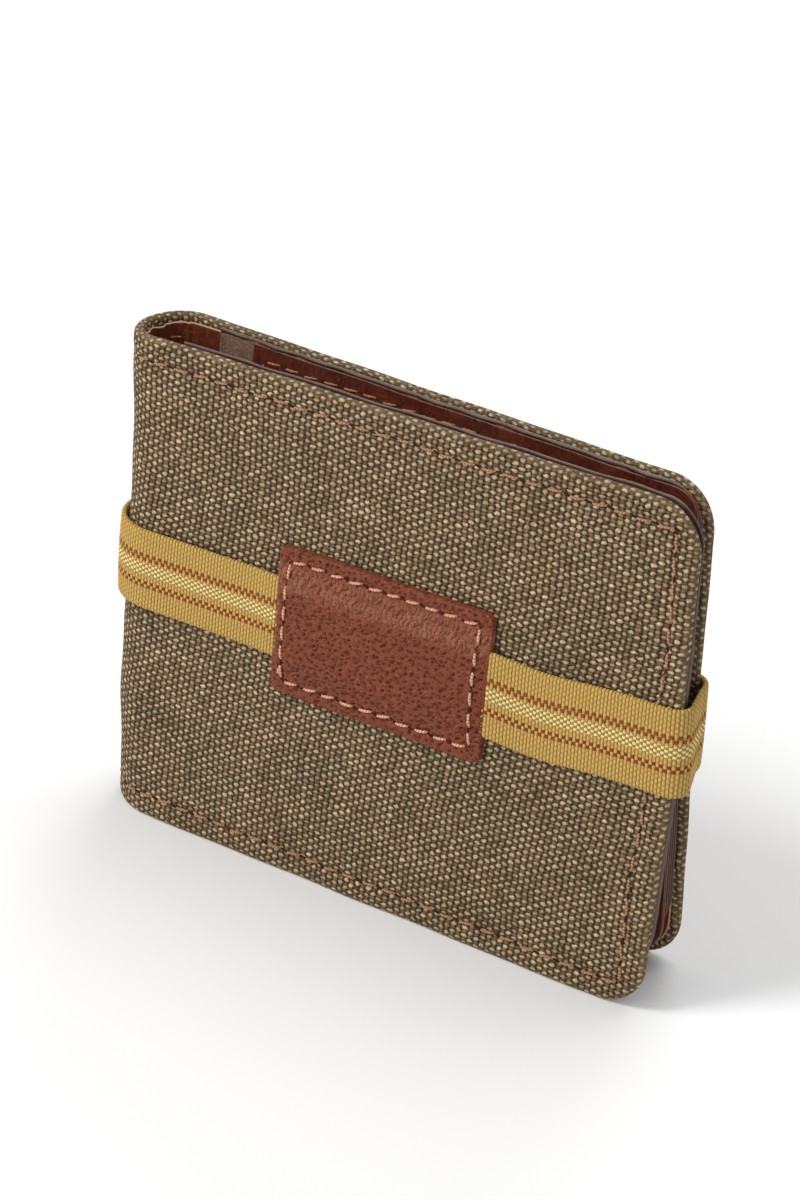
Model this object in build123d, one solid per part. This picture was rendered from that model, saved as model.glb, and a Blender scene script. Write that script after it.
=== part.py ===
from build123d import *
import os

# Bifold wallet, closed and standing on its bottom edge. Millimetres.
# X runs from the spine (-X) to the fore-edge (+X), Y from the front cover (-Y) to the
# back cover (+Y), Z is up. The origin is the middle of the whole object's footprint.

# Overall size of the wallet body, without the elastic band.
WIDTH = 113.0
HEIGHT = 90.0
THICKNESS = 16.0
CORNER_RADIUS = 8.5

# Layers of one half, from the outer face inwards.
CANVAS = 1.0
HEM = 0.8
HEM_WIDTH = 9.0
LINING = 0.4
BILL_GAP = 1.2
DIVIDER = 0.6
POCKET_SHEET = 0.4
CARD_GAP = 0.3
POCKET_COUNT = 3

# How far the inner layers stay back from the canvas edge.
LINING_INSET = 1.5
PANEL_INSET = 1.2
PANEL_SPINE_GAP = 4.0
SEAM_WIDTH = 3.0
POCKET_TOP_DROP = 12.0
POCKET_STAGGER = 12.0

# Spine: a half-round fold, divided into staves between hinge lines on its outer face.
STAVE_COUNT = 3

# Centre leaf with its window, swinging on a tape hinge.
LEAF_HINGE_FROM_SPINE = 14.5
LEAF_HINGE_GAP = 5.0
LEAF_EDGE_INSET = 3.5
LEAF_TOP_DROP = 2.2
LEAF_BOTTOM = 3.0
LEAF_CORNER_RADIUS = 6.0
LEAF_FRONT = 0.6
LEAF_BACK = 0.8
LEAF_BEHIND_MIDDLE = 0.8
WINDOW_SHEET = 0.3
WINDOW_SIZE = (70.0, 50.0)
WINDOW_CENTRE_Z = 40.0
WINDOW_LAP = 2.5
TAPE_OVERLAP = 6.0
TAPE_HINGE_GAP = 0.3
TAPE_FOOT = 1.5

# Elastic band and the leather patch that joins its ends.
BAND_WIDTH = 15.5
BAND_SHEET = 1.0
BAND_CENTRE_Z = 48.0
BAND_FACE_GAP = 0.4
BAND_END_GAP = 0.8
BAND_EDGE_RADIUS = 2.0
BAND_SPINE_RADIUS = 8.5
PATCH_SIZE = (42.0, 27.0)
PATCH_CENTRE_X = 1.0
PATCH_RADIUS = 1.5
PATCH_LEATHER = 1.2
PATCH_BACKING = 0.9
PATCH_JOIN_GAP = 2.0
PATCH_CHANNEL_PLAY = 0.1

# Stitches: short flat bars lying on the surface.
STITCH_WIDTH = 0.45
COVER_STITCH = {"inset": 4.2, "pitch": 4.0, "length": 2.9, "height": 0.2}
LEAF_STITCH = {"inset": 2.6, "pitch": 4.0, "length": 2.9, "height": 0.15}
PATCH_STITCH = {"inset": 2.4, "pitch": 3.65, "length": 2.5, "height": 0.25}
SPINE_STITCHES_PER_STAVE = 2

# Derived places.
SPINE_RADIUS = THICKNESS / 2
SPINE_X = -WIDTH / 2 + SPINE_RADIUS
EDGE_X = WIDTH / 2
COVER = CANVAS + HEM
WALL = COVER + LINING
PANEL_X = SPINE_X + PANEL_SPINE_GAP
LEAF_HINGE_X = -WIDTH / 2 + LEAF_HINGE_FROM_SPINE
LEAF = LEAF_FRONT + LEAF_BACK
LEAF_FACE = LEAF_BEHIND_MIDDLE - LEAF / 2
LEAF_SPLIT = LEAF_FACE + LEAF_FRONT
BAND_FRONT = SPINE_RADIUS + BAND_FACE_GAP + PATCH_BACKING
BAND_BACK = SPINE_RADIUS + BAND_FACE_GAP
FRONT_REACH = BAND_FRONT + BAND_SHEET + PATCH_LEATHER + PATCH_STITCH["height"]
BACK_REACH = BAND_BACK + BAND_SHEET
# The wallet's middle plane lies a little behind the origin, because the patch stands
# further out than the band does at the back.
MID_Y = (FRONT_REACH - BACK_REACH) / 2


def rounded_panel(x_low, x_high, z_low, z_high, radius):
    """A flat panel outline whose two fore-edge corners are rounded."""
    width, height = x_high - x_low, z_high - z_low
    panel = Pos(x_low, z_low) * Rectangle(width, height, align=(Align.MIN, Align.MIN))
    corners = panel.vertices().group_by(Axis.X)[-1]
    return fillet(corners, radius)


def plain_panel(x_low, x_high, z_low, z_high):
    width, height = x_high - x_low, z_high - z_low
    return Pos(x_low, z_low) * Rectangle(width, height, align=(Align.MIN, Align.MIN))


def slab(outline, depth_low, depth_high):
    """Stands an outline up, and gives it thickness between two depths measured
    backwards from the wallet's middle plane."""
    flat = extrude(Pos(0, 0, -depth_high) * outline, amount=depth_high - depth_low)
    return Pos(0, MID_Y, 0) * Rot(90, 0, 0) * flat


def layer(outline, outer, inner):
    """A layer of the front half, between two depths from its outer face."""
    return slab(outline, outer - SPINE_RADIUS, inner - SPINE_RADIUS)


def on_side(shape, side):
    """The front half as it is, or its mirror image for the back half."""
    if side == "front":
        return shape
    return mirror(shape, about=Plane.XZ.offset(-MID_Y))


def pocket_sheet(z_top, outer, sheet, gap, open_spine):
    """A panel sewn down along its seams, which leaves a flat pocket behind it."""
    edge, bottom = EDGE_X - PANEL_INSET, PANEL_INSET
    radius = CORNER_RADIUS - PANEL_INSET
    reach_up = z_top == HEIGHT - PANEL_INSET
    make = rounded_panel if reach_up else lower_rounded_panel
    whole = layer(make(PANEL_X, edge, bottom, z_top, radius), outer, outer + gap + sheet)
    spine_seam = 0 if open_spine else SEAM_WIDTH
    hollow = plain_panel(
        PANEL_X + spine_seam - (1 if open_spine else 0),
        edge - SEAM_WIDTH,
        bottom + SEAM_WIDTH,
        z_top + 1,
    )
    return whole - layer(hollow, outer - 1, outer + gap)


def lower_rounded_panel(x_low, x_high, z_low, z_high, radius):
    """A panel outline with only its lower fore-edge corner rounded."""
    panel = plain_panel(x_low, x_high, z_low, z_high)
    corner = panel.vertices().group_by(Axis.X)[-1].sort_by(Axis.Y)[:1]
    return fillet(corner, radius)


def stitch_bars(start, end, style):
    """Stitches along one straight row, as (centre x, centre z, size x, size z)."""
    (x0, z0), (x1, z1) = start, end
    span = abs(x1 - x0) + abs(z1 - z0)
    count = round(span / style["pitch"])
    flat = abs(x1 - x0) > abs(z1 - z0)
    size = (style["length"], STITCH_WIDTH) if flat else (STITCH_WIDTH, style["length"])
    for i in range(count):
        t = (i + 0.5) / count
        yield x0 + (x1 - x0) * t, z0 + (z1 - z0) * t, *size


def stitch_group(rows, style, depth_low, depth_high):
    """Every stitch of several rows, as one group of separate solids."""
    solids = []
    for start, end in rows:
        for x, z, size_x, size_z in stitch_bars(start, end, style):
            bar = plain_panel(x - size_x / 2, x + size_x / 2, z - size_z / 2, z + size_z / 2)
            solids.extend(slab(bar, depth_low, depth_high).solids())
    return solids


def ring_sector(radius_low, radius_high, start, sweep, z_low, z_high):
    """Part of the spine's half-round wall, between two angles about its centre."""
    outer = CenterArc((0, 0), radius_high, start, sweep)
    inner = CenterArc((0, 0), radius_low, start, sweep)
    sides = [Line(outer @ 0, inner @ 0), Line(outer @ 1, inner @ 1)]
    face = make_face([outer, inner, *sides])
    return Pos(SPINE_X, MID_Y, z_low) * extrude(face, amount=z_high - z_low)


def cover_parts(side):
    """Canvas, board, lining, bill divider, card pockets and edge stitching of one half."""
    canvas = layer(rounded_panel(SPINE_X, EDGE_X, 0, HEIGHT, CORNER_RADIUS), 0, COVER)
    board_outline = plain_panel(
        SPINE_X + HEM_WIDTH, EDGE_X - HEM_WIDTH, HEM_WIDTH, HEIGHT - HEM_WIDTH
    )
    board = layer(board_outline, CANVAS, COVER)
    lining_outline = rounded_panel(
        SPINE_X,
        EDGE_X - LINING_INSET,
        LINING_INSET,
        HEIGHT - LINING_INSET,
        CORNER_RADIUS - LINING_INSET,
    )
    parts = {
        f"{side}_canvas": canvas - board,
        f"{side}_board": board,
        f"{side}_lining": layer(lining_outline, COVER, WALL),
        f"{side}_bill_divider": pocket_sheet(
            HEIGHT - PANEL_INSET, WALL, DIVIDER, BILL_GAP, open_spine=True
        ),
    }
    depth = WALL + BILL_GAP + DIVIDER
    for i in range(POCKET_COUNT):
        top = HEIGHT - POCKET_TOP_DROP - i * POCKET_STAGGER
        parts[f"{side}_card_pocket_{i + 1}"] = pocket_sheet(
            top, depth, POCKET_SHEET, CARD_GAP, open_spine=False
        )
        depth += POCKET_SHEET + CARD_GAP
    inset = COVER_STITCH["inset"]
    edge, low, high = EDGE_X - inset, inset, HEIGHT - inset
    rows = [
        ((SPINE_X, high), (edge, high)),
        ((edge, high), (edge, low)),
        ((edge, low), (SPINE_X, low)),
    ]
    face = -SPINE_RADIUS
    stitches = stitch_group(rows, COVER_STITCH, face - COVER_STITCH["height"], face)
    parts[f"{side}_edge_stitching"] = Compound(stitches)
    return {name: on_side(shape, side) for name, shape in parts.items()}


def spine_parts():
    """The folded spine: staves of canvas and lining from the back to the front."""
    parts = {}
    sweep = 180 / STAVE_COUNT
    for i in range(STAVE_COUNT):
        start = 90 + i * sweep
        parts[f"spine_canvas_{i + 1}"] = ring_sector(
            SPINE_RADIUS - COVER, SPINE_RADIUS, start, sweep, 0, HEIGHT
        )
        parts[f"spine_lining_{i + 1}"] = ring_sector(
            SPINE_RADIUS - WALL,
            SPINE_RADIUS - COVER,
            start,
            sweep,
            LINING_INSET,
            HEIGHT - LINING_INSET,
        )
        parts[f"spine_stitching_{i + 1}"] = spine_stitches(start, sweep)
    return parts


def spine_stitches(start, sweep):
    step = sweep / SPINE_STITCHES_PER_STAVE
    turn = step * COVER_STITCH["length"] / COVER_STITCH["pitch"]
    solids = []
    for z in (COVER_STITCH["inset"], HEIGHT - COVER_STITCH["inset"]):
        for k in range(SPINE_STITCHES_PER_STAVE):
            middle = start + (k + 0.5) * step
            stitch = ring_sector(
                SPINE_RADIUS,
                SPINE_RADIUS + COVER_STITCH["height"],
                middle - turn / 2,
                turn,
                z - STITCH_WIDTH / 2,
                z + STITCH_WIDTH / 2,
            )
            solids.extend(stitch.solids())
    return Compound(solids)


def leaf_parts():
    """The centre leaf: two leather sheets with a clear window and a tape hinge."""
    x_low, x_high = LEAF_HINGE_X + LEAF_HINGE_GAP, EDGE_X - LEAF_EDGE_INSET
    z_low, z_high = LEAF_BOTTOM, HEIGHT - LEAF_TOP_DROP
    sheet = rounded_panel(x_low, x_high, z_low, z_high, LEAF_CORNER_RADIUS)
    face, split, back = LEAF_FACE, LEAF_SPLIT, LEAF_FACE + LEAF
    centre_x = (x_low + x_high) / 2 + LEAF_CORNER_RADIUS / 2
    opening = Pos(centre_x, WINDOW_CENTRE_Z) * Rectangle(*WINDOW_SIZE)
    glazing = Pos(centre_x, WINDOW_CENTRE_Z) * Rectangle(
        WINDOW_SIZE[0] + 2 * WINDOW_LAP, WINDOW_SIZE[1] + 2 * WINDOW_LAP
    )
    window = slab(glazing, split, split + WINDOW_SHEET)
    tape_outline = plain_panel(
        LEAF_HINGE_X + TAPE_HINGE_GAP, x_low + TAPE_OVERLAP, z_low, z_high
    )
    tape = slab(tape_outline, split, split + WINDOW_SHEET)
    rows_inset = LEAF_STITCH["inset"]
    left, right = x_low + rows_inset, x_high - rows_inset
    low, high = z_low + rows_inset, z_high - rows_inset
    rows = [
        ((left, high), (right, high)),
        ((right, high), (right, low)),
        ((right, low), (left, low)),
        ((left, low), (left, high)),
    ]
    stitches = stitch_group(rows, LEAF_STITCH, face - LEAF_STITCH["height"], face)
    return {
        "leaf_front_sheet": slab(sheet - opening, face, split),
        "leaf_back_sheet": slab(sheet, split, back) - window - tape,
        "leaf_window": window,
        "leaf_hinge_tape": tape,
        "leaf_stitching": Compound(stitches),
    }


def fixed_tape():
    """The half of the hinge tape that is sewn to the back half's card pockets."""
    split = LEAF_SPLIT
    x_high = LEAF_HINGE_X - TAPE_HINGE_GAP
    z_low, z_high = LEAF_BOTTOM, HEIGHT - LEAF_TOP_DROP
    strip = slab(plain_panel(PANEL_X, x_high, z_low, z_high), split, split + WINDOW_SHEET)
    pocket_face = SPINE_RADIUS - WALL - BILL_GAP - DIVIDER
    pocket_face -= POCKET_COUNT * (POCKET_SHEET + CARD_GAP)
    foot_outline = plain_panel(PANEL_X, PANEL_X + TAPE_FOOT, z_low, z_high)
    foot = slab(foot_outline, split + WINDOW_SHEET, pocket_face)
    return strip + foot


def band_outline(grow):
    """The band's path round the closed wallet, seen from above."""
    x_high = EDGE_X + BAND_END_GAP + grow
    y_low, y_high = -BAND_FRONT - grow, BAND_BACK + grow
    loop = Pos(0, (y_low + y_high) / 2) * Rectangle(2 * x_high, y_high - y_low)
    ends = loop.vertices().group_by(Axis.X)
    loop = fillet(ends[-1], BAND_EDGE_RADIUS + grow)
    ends = loop.vertices().group_by(Axis.X)
    return fillet(ends[0], BAND_SPINE_RADIUS + grow)


def band_parts():
    """The elastic band with the leather patch over its two ends."""
    ring = extrude(band_outline(BAND_SHEET) - band_outline(0), amount=BAND_WIDTH)
    ring = Pos(0, MID_Y, BAND_CENTRE_Z - BAND_WIDTH / 2) * ring
    patch_low, patch_high = PATCH_CENTRE_X - PATCH_SIZE[0] / 2, PATCH_CENTRE_X + PATCH_SIZE[0] / 2
    join = Pos(PATCH_CENTRE_X, MID_Y - BAND_FRONT, BAND_CENTRE_Z) * Box(
        PATCH_JOIN_GAP, 2 * (BAND_SHEET + BAND_FACE_GAP), 2 * BAND_WIDTH
    )
    outline = Pos(PATCH_CENTRE_X, BAND_CENTRE_Z) * RectangleRounded(*PATCH_SIZE, PATCH_RADIUS)
    channel_half = BAND_WIDTH / 2 + PATCH_CHANNEL_PLAY
    channel = plain_panel(
        patch_low - 1, patch_high + 1, BAND_CENTRE_Z - channel_half, BAND_CENTRE_Z + channel_half
    )
    band_face = -BAND_FRONT - BAND_SHEET
    patch_face = band_face - PATCH_LEATHER
    leather = slab(outline, patch_face, -BAND_FRONT) - slab(channel, band_face, 0)
    inset = PATCH_STITCH["inset"]
    left, right = patch_low + inset, patch_high - inset
    low = BAND_CENTRE_Z - PATCH_SIZE[1] / 2 + inset
    high = BAND_CENTRE_Z + PATCH_SIZE[1] / 2 - inset
    rows = [
        ((left, high), (right, high)),
        ((right, high), (right, low)),
        ((right, low), (left, low)),
        ((left, low), (left, high)),
    ]
    stitches = stitch_group(
        rows, PATCH_STITCH, patch_face - PATCH_STITCH["height"], patch_face
    )
    return {
        "elastic_band": ring - join,
        "leather_patch": leather,
        "patch_backing": slab(outline, -BAND_FRONT, -BAND_FRONT + PATCH_BACKING),
        "patch_stitching": Compound(stitches),
    }


os.makedirs("parts", exist_ok=True)
wallet = {
    **cover_parts("back"),
    **cover_parts("front"),
    **spine_parts(),
    **leaf_parts(),
    "fixed_hinge_tape": fixed_tape(),
    **band_parts(),
}
for name, shape in wallet.items():
    export_step(shape, f"parts/{name}.step")
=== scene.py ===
"""Looks of the bifold wallet: canvas, leather, elastic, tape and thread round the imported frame.

Lengths are millimetres until a mesh is made, and y is measured from the wallet's middle plane.
"""

import math

import bpy
import numpy as np
from mathutils import Matrix, Vector


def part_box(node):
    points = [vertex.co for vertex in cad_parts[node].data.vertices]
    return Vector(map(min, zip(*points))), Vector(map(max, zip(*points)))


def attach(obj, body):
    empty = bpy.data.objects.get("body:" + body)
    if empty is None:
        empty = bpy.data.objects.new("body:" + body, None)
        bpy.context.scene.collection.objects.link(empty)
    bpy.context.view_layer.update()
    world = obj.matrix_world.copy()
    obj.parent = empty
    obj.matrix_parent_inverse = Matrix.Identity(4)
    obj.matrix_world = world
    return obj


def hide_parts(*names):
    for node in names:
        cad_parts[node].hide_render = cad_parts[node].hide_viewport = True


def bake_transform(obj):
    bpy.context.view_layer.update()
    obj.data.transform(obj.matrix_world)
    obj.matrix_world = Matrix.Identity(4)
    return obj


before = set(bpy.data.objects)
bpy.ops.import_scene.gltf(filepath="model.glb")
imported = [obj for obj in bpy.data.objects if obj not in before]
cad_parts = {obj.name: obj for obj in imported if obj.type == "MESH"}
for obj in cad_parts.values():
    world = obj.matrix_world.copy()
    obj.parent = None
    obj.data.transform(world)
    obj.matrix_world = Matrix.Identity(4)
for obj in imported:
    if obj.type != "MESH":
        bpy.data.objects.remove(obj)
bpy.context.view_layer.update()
MM = 0.001
FRONT, BACK = -1, 1


def cad_low(node):
    return np.array(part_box(node)[0]) / MM


def cad_high(node):
    return np.array(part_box(node)[1]) / MM


# Sizes that come from the frame.
EDGE_X = cad_high("front_canvas")[0]
SPINE_OUT = cad_low("spine_canvas_2")[0]
HEIGHT = cad_high("front_canvas")[2]
MID_Y = (cad_low("front_canvas")[1] + cad_high("back_canvas")[1]) / 2
COVER = cad_high("front_canvas")[1] - cad_low("front_canvas")[1]
LINING = cad_high("front_lining")[1] - cad_low("front_lining")[1]
WALL = COVER + LINING
LINING_INSET = EDGE_X - cad_high("front_lining")[0]
PANEL_X = cad_low("front_bill_divider")[0]
PANEL_INSET = EDGE_X - cad_high("front_bill_divider")[0]
LEAF_LOW = cad_low("leaf_back_sheet")
WINDOW_LOW, WINDOW_HIGH = cad_low("leaf_window"), cad_high("leaf_window")
TAPE_LOW = cad_low("fixed_hinge_tape")
BAND_LOW, BAND_HIGH = cad_low("elastic_band"), cad_high("elastic_band")
BAND_Z = (BAND_LOW[2] + BAND_HIGH[2]) / 2
BAND_WIDTH = BAND_HIGH[2] - BAND_LOW[2]
PATCH_LOW, PATCH_HIGH = cad_low("leather_patch"), cad_high("leather_patch")
PATCH_X = (PATCH_LOW[0] + PATCH_HIGH[0]) / 2

# The soft shape at rest. A pair is a size at the bottom and at the top.
SPINE_HALF = (9.8, 7.8)
EDGE_HALF = {FRONT: (9.0, 5.4), BACK: (9.4, 5.4)}
SPINE_LEAN = (0.7, -0.9)
SPINE_BOWS = ((67, 0.8), (20, -0.55))
BOW_SPREAD = 13
SPINE_DIP = 0.6
DIP_SPREAD = 9.0
BACK_SHORT = 3.2
EDGES = {FRONT: EDGE_X, BACK: EDGE_X - BACK_SHORT}
BAND_SQUEEZE = {FRONT: 1.0, BACK: 0.6}
SQUEEZE_SPREAD = 20.0
CORNER_FLARE = {FRONT: 0.0, BACK: 1.2}
FLARE_HEIGHT = 24
CORNER_RADIUS = 8.5

# Cloth and thread.
YARN_X = 1.16
YARN_Z = 0.686
WARP_SKEW = -0.06
WEFT_SKEW = -0.023
RIB_PITCH = 0.64
RIM_ROUNDING = 1.1
STITCH_INSET = 4.2
STITCH_PITCH = 4.0


def lerp(low, high, t):
    return low + (high - low) * t


def hill(value, middle, width):
    """1 at the middle, falling to 0 in a bell shape on both sides."""
    return np.exp(-(((value - middle) / width) ** 2))


def ease(t):
    """A smooth step from 0 to 1."""
    t = np.clip(t, 0, 1)
    return t * t * (3 - 2 * t)


def spine_radius(z):
    return lerp(*SPINE_HALF, z / HEIGHT)


def spine_left(z):
    bow = sum(size * hill(z, place, BOW_SPREAD) for place, size in SPINE_BOWS)
    return SPINE_OUT + lerp(*SPINE_LEAN, z / HEIGHT) + bow


def half(x, z, side):
    """Distance from the middle plane to the outer face of a cover."""
    radius = spine_radius(z)
    start = spine_left(z) + radius
    across = np.clip((x - start) / (EDGE_X - start), 0, 1.05)
    edge = lerp(*EDGE_HALF[side], z / HEIGHT)
    squeeze = BAND_SQUEEZE[side] * across * hill(z, BAND_Z, SQUEEZE_SPREAD)
    flare = CORNER_FLARE[side] * across**3 * hill(z, 0, FLARE_HEIGHT)
    return radius + (edge - radius) * across - squeeze + flare


def sway(s, z):
    """Gentle unevenness of the cloth."""
    return 0.10 * np.sin(0.31 * s + 0.17 * z + 1.3) + 0.08 * np.sin(0.41 * z - 0.19 * s + 0.4)


def along_cloth(x, z, side):
    """Length along the cloth from the middle of the spine to a place on a cover."""
    radius = spine_radius(z)
    return -side * (x - spine_left(z) - radius + radius * math.pi / 2)


def cloth(s, z, depth):
    """A point of the cover: s along the cloth from the middle of the spine, positive towards
    the front, and depth inwards from the outer face."""
    s, z, depth = np.broadcast_arrays(*(np.asarray(v, float) for v in (s, z, depth)))
    away = np.where(s > 0, -1.0, 1.0)
    radius, left = spine_radius(z), spine_left(z)
    turn = np.minimum(np.abs(s) / radius, math.pi / 2)
    straight = np.maximum(np.abs(s) - radius * math.pi / 2, 0)
    x_flat = left + radius + straight
    thick = np.where(away < 0, half(x_flat, z, FRONT), half(x_flat, z, BACK))
    inner = depth - sway(s, z)
    x = np.where(straight > 0, x_flat, left + radius - (radius - inner) * np.cos(turn))
    y = np.where(straight > 0, thick - inner, (radius - inner) * np.sin(turn)) * away
    dip = SPINE_DIP * hill(s, 0, DIP_SPREAD) * np.clip(z / HEIGHT, 0, 1) ** 6
    return np.stack([x, y, z - dip], -1)


def on_cover(x, z, depth, side):
    """A point at a given x on the flat of a cover."""
    return cloth(along_cloth(x, z, side), z, depth)


# Meshes ------------------------------------------------------------------------------------


def make_object(name, points, faces, materials, flat, kinds=None):
    """A smooth mesh piece. The flat attribute holds each point's place on the uncut material,
    and kinds the number of each face's material."""
    mesh = bpy.data.meshes.new(name)
    mesh.from_pydata(((np.asarray(points) + (0, MID_Y, 0)) * MM).tolist(), [], faces)
    for material in materials:
        mesh.materials.append(material)
    mesh.polygons.foreach_set("use_smooth", [True] * len(mesh.polygons))
    if kinds is not None:
        mesh.polygons.foreach_set("material_index", kinds)
    attribute = mesh.attributes.new("flat", "FLOAT_VECTOR", "POINT")
    attribute.data.foreach_set("vector", np.asarray(flat, np.float32).ravel())
    mesh.update()
    piece = bpy.data.objects.new(name, mesh)
    bpy.context.scene.collection.objects.link(piece)
    return piece


def stand_for(piece, body, slot, *nodes):
    """Lets a piece ride on a body and take the place of CAD nodes."""
    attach(piece, body)
    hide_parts(*nodes)


def quads(index, skip=None):
    """Faces of a grid of vertex numbers, without the cells in skip."""
    a, b, c, d = index[:-1, :-1], index[:-1, 1:], index[1:, 1:], index[1:, :-1]
    cells = np.stack([a, b, c, d], -1).reshape(-1, 4)
    return cells if skip is None else cells[~skip.ravel()]


def rim(shape, cuts=()):
    """Marks the border of a grid, where a sheet's two faces meet, except on the cut columns."""
    shared = np.zeros(shape, bool)
    for column in (0, -1):
        shared[:, column] = column not in cuts
    shared[0] = shared[-1] = True
    return shared


def shell(name, outer, inner, flat, material, cuts=(), shared=None, skip=None):
    """A closed sheet between two grids of points that meet where shared is true. Cuts names
    the columns, 0 or -1, where the sheet is cut and its two faces are joined by a strip."""
    shared = rim(outer.shape[:2], cuts) if shared is None else shared
    rows, columns = shared.shape
    outer_index = np.arange(shared.size).reshape(shared.shape)
    inner_index = outer_index.copy()
    inner_index[~shared] = shared.size + np.arange((~shared).sum())
    points = [outer.reshape(-1, 3), inner[~shared]]
    places = [flat.reshape(-1, 3), flat[~shared]]
    faces = [quads(outer_index, skip), quads(inner_index, skip)[:, ::-1]]
    total = shared.size + (~shared).sum()
    for column in cuts:
        points += [outer[:, column], inner[:, column]]
        places += [flat[:, column]] * 2
        strip = quads(total + np.stack([np.arange(rows), rows + np.arange(rows)], 1))
        faces.append(strip if column else strip[:, ::-1])
        total += 2 * rows
    faces = np.concatenate(faces)
    row, column = rows // 2, columns // 2
    corner, right, below = outer[row, column], outer[row, column + 1], outer[row + 1, column]
    if np.dot(np.cross(right - corner, below - corner), corner - inner[row, column]) < 0:
        faces = faces[:, ::-1]
    faces = [face for face in faces.tolist() if len(set(face)) > 2]
    return make_object(name, np.concatenate(points), faces, [material], np.concatenate(places))


# Distances inwards from an edge at which a grid has lines, for cloth with its hem, and sheets.
CLOTH_TICKS = (0, 0.04, 0.14, 0.3, 0.52, 0.8, 1.1, 1.8, 2.6, 3.2, 3.6, 3.9, 4.2, 4.5, 4.8, 5.3, 6.0)
SHEET_TICKS = (0, 0.03, 0.09, 0.18, 0.4)


def ticks(low, high, step, fine):
    """Places from low to high, close together over the fine offsets at both ends."""
    start, end = [low + f for f in fine], [high - f for f in fine][::-1]
    count = max(2, round((end[0] - start[-1]) / step))
    return np.array([*start, *np.linspace(start[-1], end[0], count + 1)[1:-1], *end])


def corner_ticks(low, high, radius, fine, step):
    """Rows that follow two rounded corners closely."""
    arc = [radius * (1 - math.cos(a)) for a in np.linspace(0, math.pi / 2, 15)[3:]]
    offsets = {round(v, 4) for v in [*fine, *(a for a in arc if a > fine[-1])]}
    return ticks(low, high, step, sorted(offsets))


def corner_cut(distance, radius):
    """How far a rounded corner holds the edge back at a distance from its side."""
    near = np.clip(radius - distance, 0, radius)
    return radius - np.sqrt(np.maximum(radius**2 - near**2, 0))


def sides(x, z, box):
    """Distances to the left, right, lower and upper side of a box, which is given as x low,
    x high, z low and z high."""
    return x - box[0], box[1] - x, z - box[2], box[3] - z


def edge_distance(x, z, box, radii):
    """Distance inwards from the outline of a panel, whose lower and upper corner at x high
    have these radii."""
    left, right, low, high = sides(x, z, box)
    best = np.minimum(np.minimum(right, left), np.minimum(low, high))
    for radius, upright in zip(radii, (low, high)):
        corner = (right < radius) & (upright < radius)
        rounded = radius - np.hypot(radius - right, radius - upright)
        best = np.where(corner, np.minimum(best, rounded), best)
    return np.maximum(best, 0)


def outward(x, z, box, radius):
    """Direction, in x and z, from a place on a panel to the nearest outline."""
    _, right, low, high = sides(x, z, box)
    upright = np.minimum(low, high)
    corner = (right < radius) & (upright < radius)
    length = np.maximum(np.hypot(radius - right, radius - upright), 1e-6)
    side = (right < upright).astype(float)
    across = np.where(corner, (radius - right) / length, side)
    along = np.where(corner, (radius - upright) / length, 1 - side)
    return across, along * np.where(low < high, -1, 1)


def rim_growth(distance, reach):
    """How much longer the way round a rounded rim is than the straight way to its outline."""
    turn = np.arcsin(np.clip(1 - distance / reach, 0, 1))
    return reach * (turn - np.sin(turn))


def rounding(distance, reach):
    """Share of a sheet's thickness at a distance from its rounded edge."""
    return np.sqrt(1 - (1 - np.clip(distance / reach, 0, 1)) ** 2)


def panel_grid(box, radii, extra_x, extra_z):
    """Rows of x and z over a panel with rounded corners at x high, and distance to its edge.
    The extra lines, for a hole, stay straight."""
    step, edge = 1.6, SHEET_TICKS[-1]
    x_low, x_high, z_low, z_high = box
    rows = corner_ticks(z_low, z_high, max(*radii, edge), SHEET_TICKS, step)
    rows = np.array(sorted({*rows.tolist(), *extra_z}))
    across = np.array(sorted({*ticks(x_low, x_high, step, SHEET_TICKS).tolist(), *extra_x}))
    cut = np.zeros(len(rows))
    for radius, distance in ((radii[0], rows - z_low), (radii[1], z_high - rows)):
        cut = np.maximum(cut, corner_cut(distance, radius))
    reach = max(extra_x, default=x_low) + 1.0
    share = np.clip((across - reach) / (x_high - reach), 0, 1)
    x = across[None, :] - cut[:, None] * share[None, :]
    tail = x_high - across < edge + 1e-6
    x[:, tail] = across[None, tail] - cut[:, None]
    z = np.repeat(rows[:, None], len(across), 1)
    distance = edge_distance(x, z, box, radii)
    distance[rim(x.shape)] = 0
    return x, z, distance


# Materials ---------------------------------------------------------------------------------


def srgb(red, green, blue):
    """A colour given as 0 to 255 screen values, as the linear colour that shaders use."""
    values = (v / 255 for v in (red, green, blue))
    return (*(v / 12.92 if v <= 0.04045 else ((v + 0.055) / 1.055) ** 2.4 for v in values), 1)


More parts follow.
